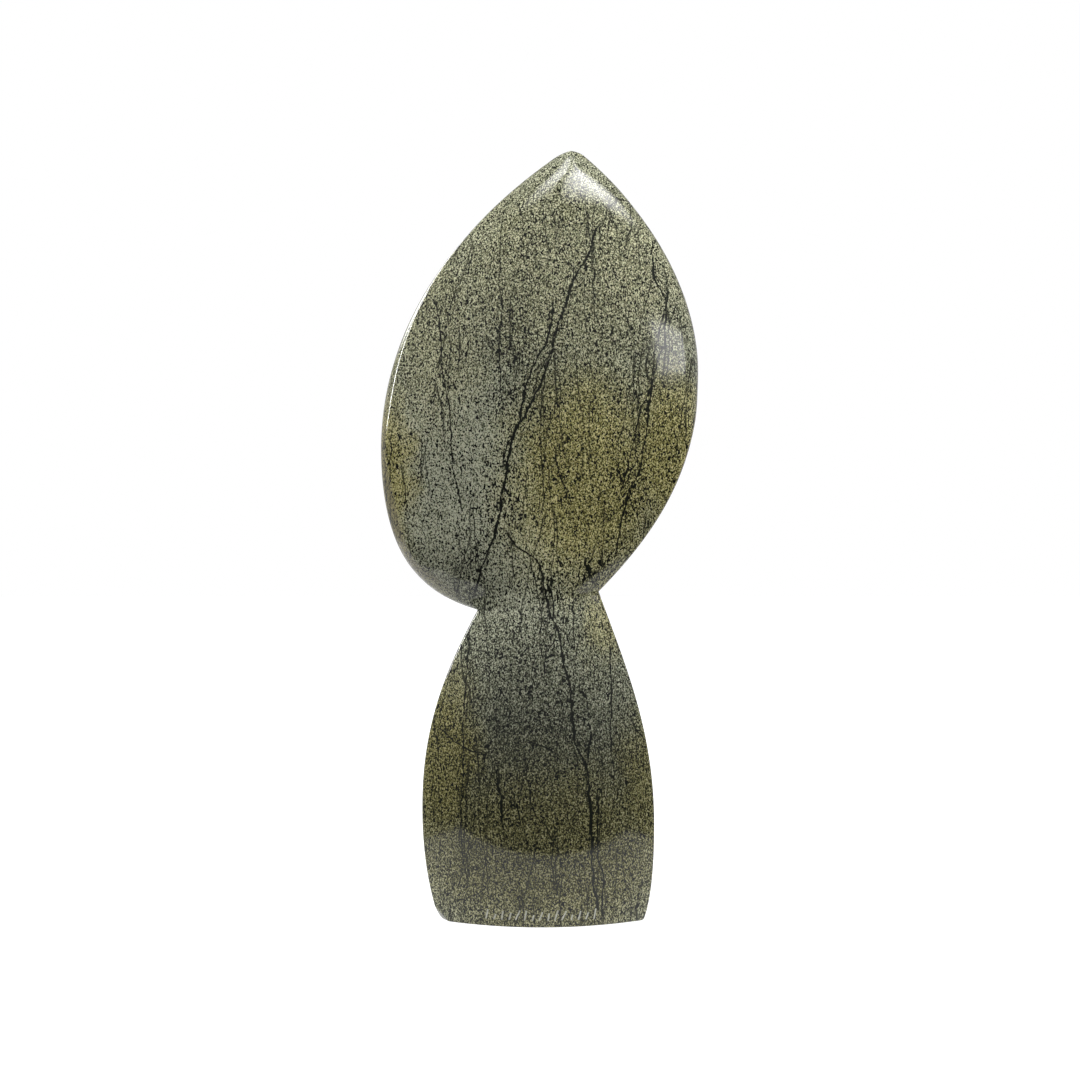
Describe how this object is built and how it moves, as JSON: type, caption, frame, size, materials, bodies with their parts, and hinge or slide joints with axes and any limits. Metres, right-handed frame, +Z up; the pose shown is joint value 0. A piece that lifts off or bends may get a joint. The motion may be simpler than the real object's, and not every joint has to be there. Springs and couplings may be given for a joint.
{
  "type": "stone head sculpture",
  "caption": "Polished stone head sculpture: a pointed oval head on a pinched neck and a flared bust with a flat underside, carved from one piece.",
  "frame": {"origin": "centre of the flat underside", "axes": "+Z up to the tip; -Y is the smooth back of the head that the picture shows, +Y is the face; +X is to the right seen from the back"},
  "size_m": [0.1448, 0.078, 0.3503],
  "materials": {
    "serpentine": "polished grey-green and olive serpentine with black veins"
  },
  "bodies": {
    "root": {"serpentine_head": "serpentine"}
  },
  "joints": []
}
